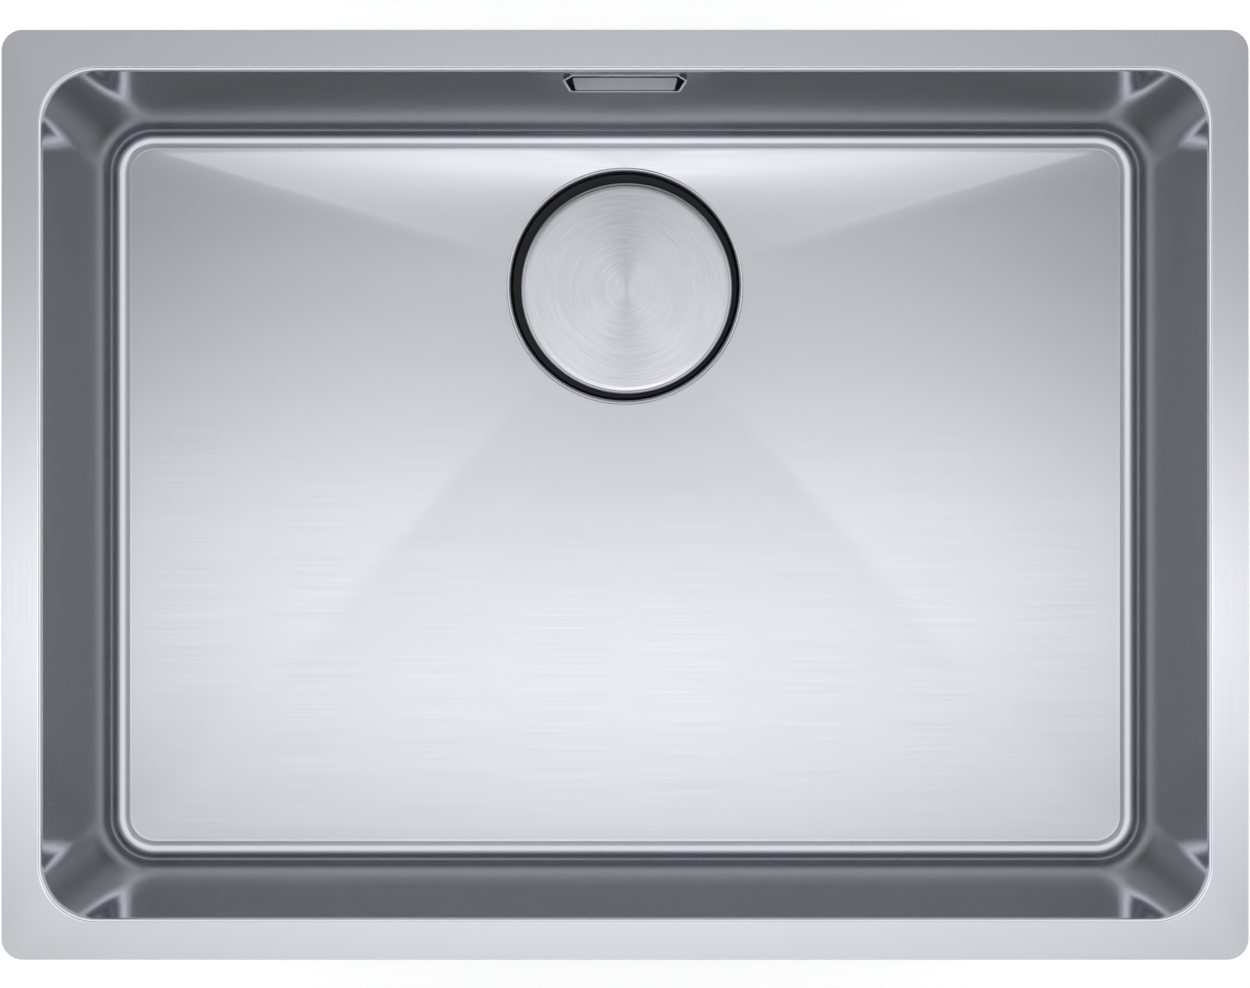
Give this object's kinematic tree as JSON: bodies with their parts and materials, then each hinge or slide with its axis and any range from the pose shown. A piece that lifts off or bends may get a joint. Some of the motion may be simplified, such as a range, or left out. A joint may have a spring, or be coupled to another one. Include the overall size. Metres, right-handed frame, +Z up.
{
  "type": "undermount kitchen sink",
  "caption": "Undermount kitchen sink: a deep drawn steel bowl with a flat flange, a back drain recess under a loose cover disc, a lift-out strainer basket, a waste body and an overflow.",
  "frame": {"origin": "centre of the flange's top face, which meets the worktop's underside", "axes": "+X to the right along the sink's length, +Y to the back, where the drain and the overflow are, +Z up"},
  "size_m": [0.59, 0.4433, 0.29],
  "materials": {
    "sheet_steel": "satin stainless steel sheet with a fine grain",
    "cover_steel": "stainless disc brushed in rings round its centre",
    "trim_chrome": "bright satin plated moulding",
    "screw_steel": "plain stainless screw",
    "brass": "turned brass nut",
    "black_plastic": "black moulded polypropylene, matt",
    "grey_plastic": "light grey moulded polypropylene, matt",
    "seal_rubber": "black moulded rubber",
    "pad_rubber": "dark sound-deadening mat"
  },
  "bodies": {
    "sink": {"bowl": "sheet_steel", "sound_pad_front": "pad_rubber", "sound_pad_left": "pad_rubber", "sound_pad_right": "pad_rubber", "overflow_frame": "trim_chrome", "overflow_plate": "trim_chrome", "overflow_screws": "screw_steel", "overflow_gasket": "seal_rubber", "overflow_housing": "grey_plastic", "overflow_upper_washer": "seal_rubber", "overflow_upper_nut": "black_plastic", "overflow_pipe": "grey_plastic", "overflow_lower_washer": "seal_rubber", "overflow_lower_nut": "black_plastic", "waste_body": "grey_plastic", "waste_outlet": "grey_plastic", "waste_cross": "grey_plastic", "body_gasket": "seal_rubber", "flange_gasket": "seal_rubber", "strainer_flange": "black_plastic", "clamp_screw": "screw_steel", "clamp_nut": "brass"},
    "basket": {"strainer_basket": "sheet_steel", "basket_seal": "seal_rubber", "basket_knob": "black_plastic"},
    "cover": {"drain_cover": "cover_steel", "cover_carrier": "black_plastic"}
  },
  "joints": [
    {"name": "basket_lift", "type": "slide", "parent": "sink", "child": "basket", "axis": [0, 0, 1], "range_m": [0, 0.26]},
    {"name": "cover_lift", "type": "slide", "parent": "basket", "child": "cover", "axis": [0, 0, 1], "range_m": [0, 0.26]}
  ]
}
